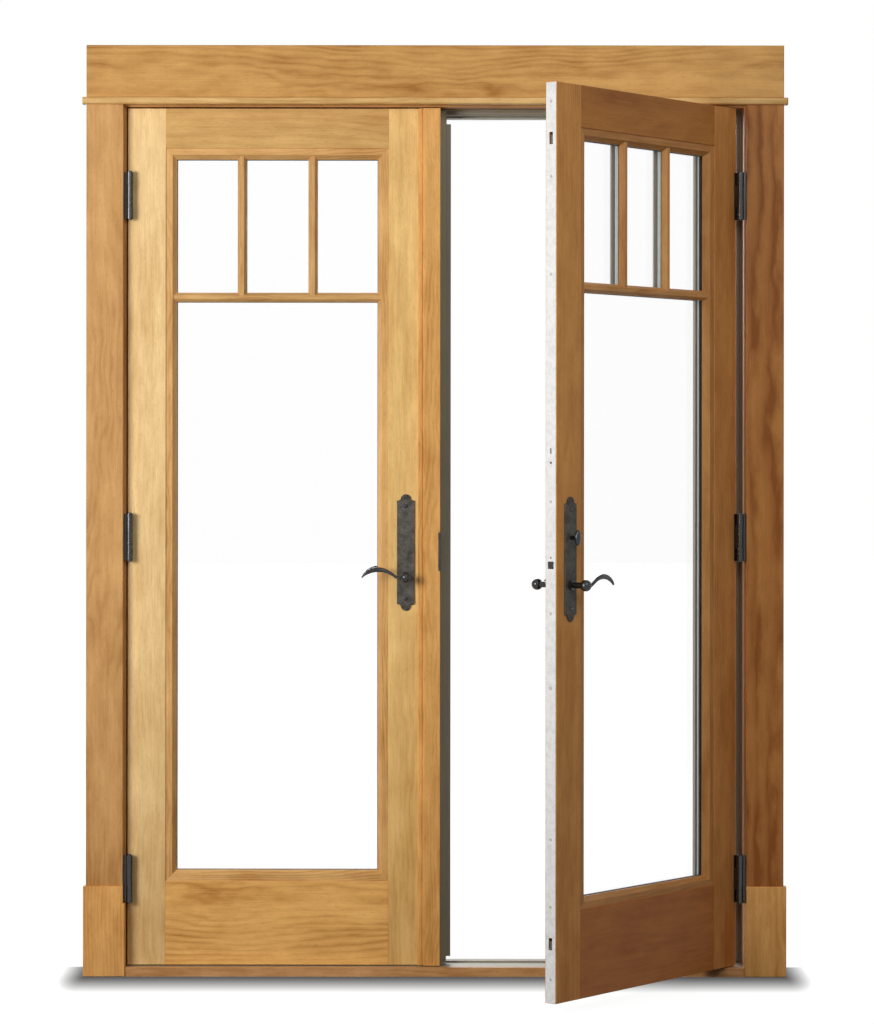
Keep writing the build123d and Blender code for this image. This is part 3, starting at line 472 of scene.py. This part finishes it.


# Wood of every board: its colour in full light, its heart line, and how it lies. The right side casing and
# the open right panel's boards have deeper colours than the left ones, partly painted shade.
BOARDS = {
    "head_casing": dict(
        colour=(198, 147, 79), heart=(2.02, 0.10), level=True, ring=0.009, bands=0.45, mottle=1.1, seed=1.0,
        knots=[(-0.63, 1.99, 0.07, 0.04, 0.02), (-0.40, 2.03, 0.11, 0.04, -0.015),
               (0.32, 2.00, 0.15, 0.05, 0.02)]),
    "head_fillet": dict(colour=(216, 173, 108), heart=(1.90, 0.05), level=True, bands=0.3, seed=2.0),
    "left_side_casing": dict(
        colour=(199, 149, 88), heart=(-0.68, 0.14), ring=0.007, bands=0.25, amber=0.25, seed=3.0),
    # Deeper than the left casing, partly painted shade of the open panel.
    "right_side_casing": dict(
        colour=(169, 110, 52), heart=(0.82, 0.05), ring=0.028, bands=1.0, amber=0.25, seed=4.0),
    "plinth_blocks": dict(colour=(221, 162, 90), heart=(0.70, 0.12), bands=0.3, seed=5.0),
    "head_jamb": dict(colour=(196, 140, 80), heart=(2.03, 0.2), level=True, seed=6.0),
    "left_side_jamb": dict(colour=(196, 140, 80), heart=(-0.8, 0.1), seed=7.0),
    "right_side_jamb": dict(colour=(180, 122, 68), heart=(0.8, 0.1), seed=8.0),
    "threshold": dict(colour=(199, 145, 90), heart=(-0.05, 0.1), level=True, mottle=1.6, seed=9.0),
    "astragal": dict(colour=(224, 167, 93), heart=(0.09, 0.1), ring=0.006, bands=0.3, amber=0.25, seed=10.0),
    "left_hinge_stile": dict(
        colour=(235, 198, 136), heart=(-0.50, 0.2), bands=0.12, mottle=0.8, amber=0.25, seed=11.0),
    "left_lock_stile": dict(
        colour=(234, 190, 117), heart=(0.05, 0.2), bands=0.15, mottle=0.8, amber=0.25, seed=12.0),
    "left_top_rail": dict(
        colour=(207, 162, 95), heart=(1.80, 0.12), level=True, ring=0.016, bands=0.2, mottle=0.8, seed=13.0),
    "left_bottom_rail": dict(
        colour=(227, 170, 93), heart=(0.16, 0.03), level=True, ring=0.012, bands=0.5, mottle=0.9, seed=14.0,
        knots=[(-0.50, 0.15, 0.09, 0.035, 0.016)]),
    "left_glazing_beads": dict(
        colour=(215, 165, 99), heart=(-0.5, 0.2), ring=0.006, bands=0.4, amber=0.25, seed=15.0),
    "left_inside_muntins": dict(colour=(204, 158, 96), heart=(-0.5, 0.2), ring=0.006, bands=0.4, seed=16.0),
    # The open right panel's boards: deeper colours, partly painted shade.
    "right_hinge_stile": dict(
        colour=(216, 148, 79), heart=(0.50, 0.2), turned=True, ring=0.006, bands=0.25, amber=0.25, seed=17.0),
    "right_lock_stile": dict(
        colour=(223, 155, 79), heart=(-0.1, 0.2), turned=True, ring=0.006, bands=0.25, amber=0.25, seed=18.0),
    "right_top_rail": dict(
        colour=(181, 116, 49), heart=(1.99, 0.08), level=True, turned=True, ring=0.03, bands=0.6, seed=19.0),
    "right_bottom_rail": dict(
        colour=(184, 111, 47), heart=(0.30, 0.2), level=True, turned=True, ring=0.012, bands=0.2, seed=20.0),
    "right_glazing_beads": dict(colour=(199, 139, 76), heart=(0.3, 0.2), turned=True, amber=0.25, seed=21.0),
    "right_inside_muntins": dict(colour=(217, 157, 91), heart=(0.3, 0.2), turned=True, seed=22.0),
}
for board, look in BOARDS.items():
    paint(board, wood("wood_" + board, **look))

# Level pieces of the beads and glazing bars, whose grain runs level too, as they are on the shut left panel
LEVEL_HEART = (1.7, 0.2)
LEVEL_SEED_STEP = 30.0
CROSSBAR_REACH = 0.0222
beads_low, beads_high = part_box("left_glazing_beads")
BEAD_SIDES = (-beads_high.x, -beads_low.x)
BEAD_ENDS = (beads_low.z, beads_high.z)
CROSSBAR_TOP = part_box("left_inside_muntins")[0].z + CROSSBAR_REACH


def on_level_bead(point):
    from_side = min(abs(abs(point.x) - side) for side in BEAD_SIDES)
    from_end = min(abs(point.z - end) for end in BEAD_ENDS)
    return from_end < from_side


def on_crossbar(point):
    return point.z < CROSSBAR_TOP


for side in ("left", "right"):
    for piece, lies_level in (("glazing_beads", on_level_bead), ("inside_muntins", on_crossbar)):
        board = side + "_" + piece
        seed = BOARDS[board]["seed"] + LEVEL_SEED_STEP
        look = dict(BOARDS[board], level=True, heart=LEVEL_HEART, amber=0.0, seed=seed)
        shut = closed_place if side == "right" else Vector
        paint_some(board, wood("wood_" + board + "_level", **look),
                   lambda point: lies_level(shut(point)))

# Finish of every other node: what makes it, its look, and the nodes that have it
FINISHES = {
    "olive_paint": (
        painted, dict(colour=(150, 142, 122), worn=(138, 130, 110), roughness=0.42),
        ("exterior_head", "exterior_jambs", "exterior_sill", "exterior_astragal", "left_cladding",
         "right_cladding", "left_outside_muntins", "right_outside_muntins")),
    "bronze_plate": (
        bronze, dict(dark=(26, 25, 24), rubbed=(116, 112, 104), texture=0.9, roughness=0.38, specular=0.12),
        ("left_inside_plate", "left_outside_plate", "right_inside_plate", "right_outside_plate")),
    "bronze_smooth": (
        bronze, dict(dark=(15, 14, 14), rubbed=(58, 55, 51), texture=0.15, roughness=0.10, specular=0.6),
        ("hinge_jamb_leaves", "hinge_pins", "left_door_leaves", "right_door_leaves", "left_inside_lever",
         "left_outside_lever", "right_inside_lever", "right_outside_lever", "left_screws", "right_screws",
         "thumb_turn", "right_key_cylinder", "latch_bolt", "strike_plates")),
    "strip_metal": (
        brushed, dict(colour=(232, 231, 228), roughness=0.38, metallic=0.15, streak=0.5),
        ("lock_edge_strip", "lock_case", "left_head_bolt", "left_foot_bolt", "bolt_keepers")),
    "hook_steel": (
        brushed, dict(colour=(104, 101, 96), roughness=0.35, metallic=0.5, streak=0.4), ("hook_bolts",)),
    "spacer_metal": (
        brushed, dict(colour=(206, 212, 209), roughness=0.4, metallic=0.2, streak=0.3),
        ("left_glass_spacer", "right_glass_spacer")),
    "seal_rubber": (
        rubber, dict(colour=(150, 141, 122), dusty=(132, 124, 106)), ("frame_weatherstrip",)),
    "clear_glass": (glass, dict(), ("left_glass_panes", "right_glass_panes")),
}
for name, (make, look, nodes) in FINISHES.items():
    material = make(name, **look)
    for node in nodes:
        paint(node, material)

# Bright screws of the lock edge strip, which are the right panel's nearest to the middle when it is shut
STRIP_SCREW_REACH = 0.04
paint_some("right_screws", brushed("strip_screws", (178, 178, 174), 0.35, 0.5, 0.4),
           lambda point: closed_place(point).x < STRIP_SCREW_REACH)

# Dark ring of sealant between the panes, on the spacer's inner face, where it shows just inside the beads;
# partly painted shade, it stands in for the shadow line along the spacer
SPACER_WIDTH = 0.010
SEALANT_SHADE_WIDTH = 0.007
SEALANT_SHADE_THICKNESS = 0.0036
SEALANT_SHADE_CLEARANCE = 0.0003
SEALANT_SHADE_STEP = 0.0003


def mirrored(point):
    return Vector((-point.x, point.y, point.z))


def next_ones(items):
    """The item that follows each item of a closed loop."""
    return items[1:] + items[:1]


def inside_box(box, inset, depth):
    """Corners of the upright rectangle that lies an inset inside a box's outline."""
    low, high = box
    left, right = low.x + inset, high.x - inset
    bottom, top = low.z + inset, high.z - inset
    return [Vector((x, depth, z)) for x, z in ((left, bottom), (right, bottom), (right, top), (left, top))]


def sealant_and_shade_mesh(name, place):
    """One mitred ring whose edges have a fine step.

    It is made for the left panel, and place moves each point to where it goes."""
    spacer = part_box("left_glass_spacer")
    front = spacer[0].y + SEALANT_SHADE_CLEARANCE
    back = front + SEALANT_SHADE_THICKNESS
    outer = SPACER_WIDTH
    inner = SPACER_WIDTH + SEALANT_SHADE_WIDTH
    shape = bmesh.new()
    rings = [[shape.verts.new(place(corner)) for corner in inside_box(spacer, inset, depth)]
             for inset, depth in ((outer, front), (inner, front), (inner, back), (outer, back))]
    for one, other in zip(rings, next_ones(rings)):
        for corners in zip(one, next_ones(one), next_ones(other), other):
            shape.faces.new(corners)
    bmesh.ops.bevel(shape, geom=shape.edges[:], offset=SEALANT_SHADE_STEP, segments=2, affect="EDGES")
    bmesh.ops.recalc_face_normals(shape, faces=shape.faces[:])
    mesh = bpy.data.meshes.new(name)
    shape.to_mesh(mesh)
    shape.free()
    return mesh


def add_sealant_and_shade(name, body, place, material):
    """A ring of sealant and painted shade that rides on a panel."""
    mesh = sealant_and_shade_mesh(name, place)
    mesh.materials.append(material)
    ring = bpy.data.objects.new(name, mesh)
    bpy.context.scene.collection.objects.link(ring)
    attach(ring, body)


# Sealant colour, dark partly as painted shade of the spacer's edge.
sealant_and_shade = rubber("glass_sealant_and_shade", (50, 58, 62), (30, 34, 36))
add_sealant_and_shade("left_glass_sealant_and_shade", "passive_panel", Vector, sealant_and_shade)
add_sealant_and_shade("right_glass_sealant_and_shade", "active_panel", lambda point: open_place(mirrored(point)), sealant_and_shade)


# Stage: floor, world, lamps and camera
def seen_directly(nodes, links):
    """1 for camera, glossy and transmission rays, which see the white surroundings."""
    path = nodes.new("ShaderNodeLightPath")
    total = path.outputs["Is Camera Ray"]
    for kind in ("Is Glossy Ray", "Is Transmission Ray"):
        either = nodes.new("ShaderNodeMath")
        either.operation = "MAXIMUM"
        links.new(total, either.inputs[0])
        links.new(path.outputs[kind], either.inputs[1])
        total = either.outputs[0]
    return total


def contact_shadow(graph, x, y):
    """0 at the frame's foot, rising to 1 before it and beside it, and 1 behind it."""
    beside = graph.math("MAXIMUM", graph.minus(graph.math("ABSOLUTE", x), FOOT_HALF_WIDTH), 0.0)
    before = graph.math("MAXIMUM", graph.minus(FOOT_FRONT, y), 0.0)
    aside = graph.over(beside, FOOT_SHADOW_ASIDE)
    ahead = graph.over(before, FOOT_SHADOW_AHEAD)
    away = graph.distance(aside, ahead, clamp=True)
    behind = graph.math("GREATER_THAN", y, FOOT_BACK)
    return graph.math("MAXIMUM", graph.math("POWER", away, FOOT_SHADOW_FADE), behind)


def floor_white():
    """White where it is seen, but for the contact shadow, and a share of real light near the object."""
    graph = Graph("floor_white")
    x, y, z = graph.split(graph.place())
    open_floor = contact_shadow(graph, x, y)
    near = graph.ramp(graph.over(graph.distance(x, y), FLOOR_SHADOW_REACH), FLOOR_SHADOW_EDGE)
    white = graph.minus(1.0, graph.times(near, FLOOR_SHADOW_SHARE))
    contact = graph.plus(graph.times(open_floor, 1.0 - FOOT_SHADOW_WHITE), FOOT_SHADOW_WHITE)
    seen = seen_directly(graph.nodes, graph.links)
    # Base colour darkened at the frame's foot: painted contact shadow.
    graph.surface(Base_Color=graph.mix(open_floor, grey(FLOOR_DARK), grey(FLOOR_PALE)),
                  Roughness=FLOOR_ROUGHNESS, Specular_IOR_Level=0.0)
    glow = graph.add("ShaderNodeEmission", Strength=graph.times(graph.times(white, contact), seen))
    both = graph.nodes.new("ShaderNodeAddShader")
    for socket, shader in zip(both.inputs, (graph.shader, glow)):
        graph.feed(socket, shader.outputs[0])
    graph.feed(graph.output.inputs["Surface"], both.outputs[0])
    return graph.material


def add_floor():
    far = FLOOR_HALF
    mesh = bpy.data.meshes.new("floor")
    mesh.from_pydata([(-far, -far, 0), (far, -far, 0), (far, far, 0), (-far, far, 0)], [], [(0, 1, 2, 3)])
    mesh.materials.append(floor_white())
    floor = bpy.data.objects.new("floor", mesh)
    bpy.context.scene.collection.objects.link(floor)


def add_world():
    """White where it is seen, and dimmer as light on the object."""
    world = bpy.data.worlds.new("white_room")
    bpy.context.scene.world = world
    world.use_nodes = True
    nodes, links = world.node_tree.nodes, world.node_tree.links
    background = nodes["Background"]
    background.inputs["Color"].default_value = WHITE
    blend = nodes.new("ShaderNodeMix")
    links.new(seen_directly(nodes, links), blend.inputs[MIX_FACTOR])
    for socket, strength in zip(MIX_NUMBERS, (AMBIENT, 1.0)):
        blend.inputs[socket].default_value = strength
    links.new(blend.outputs[0], background.inputs["Strength"])


def add_lamp(name, place, aim, size, power, spread):
    light = bpy.data.lights.new(name, "AREA")
    light.shape = "RECTANGLE"
    light.size, light.size_y = size
    light.energy = power
    light.spread = math.radians(spread)
    lamp = bpy.data.objects.new(name, light)
    lamp.location = place
    lamp.visible_camera = False
    lamp.rotation_euler = (Vector(aim) - Vector(place)).to_track_quat("-Z", "Y").to_euler()
    bpy.context.scene.collection.objects.link(lamp)


def add_camera():
    """A level camera that looks along +Y."""
    data = bpy.data.cameras.new("camera")
    data.sensor_fit = "AUTO"
    data.sensor_width = CAMERA_SENSOR
    data.lens = CAMERA_LENS
    data.shift_y = HORIZON_SHIFT
    data.clip_end = CAMERA_REACH
    camera = bpy.data.objects.new("camera", data)
    camera.location = CAMERA_PLACE
    camera.rotation_euler = (math.radians(90.0), CAMERA_ROLL, 0.0)
    bpy.context.scene.collection.objects.link(camera)
    bpy.context.scene.camera = camera


add_floor()
add_world()
for name, settings in LAMPS.items():
    add_lamp(name, *settings)
add_camera()
bpy.context.scene.view_settings.view_transform = "Standard"
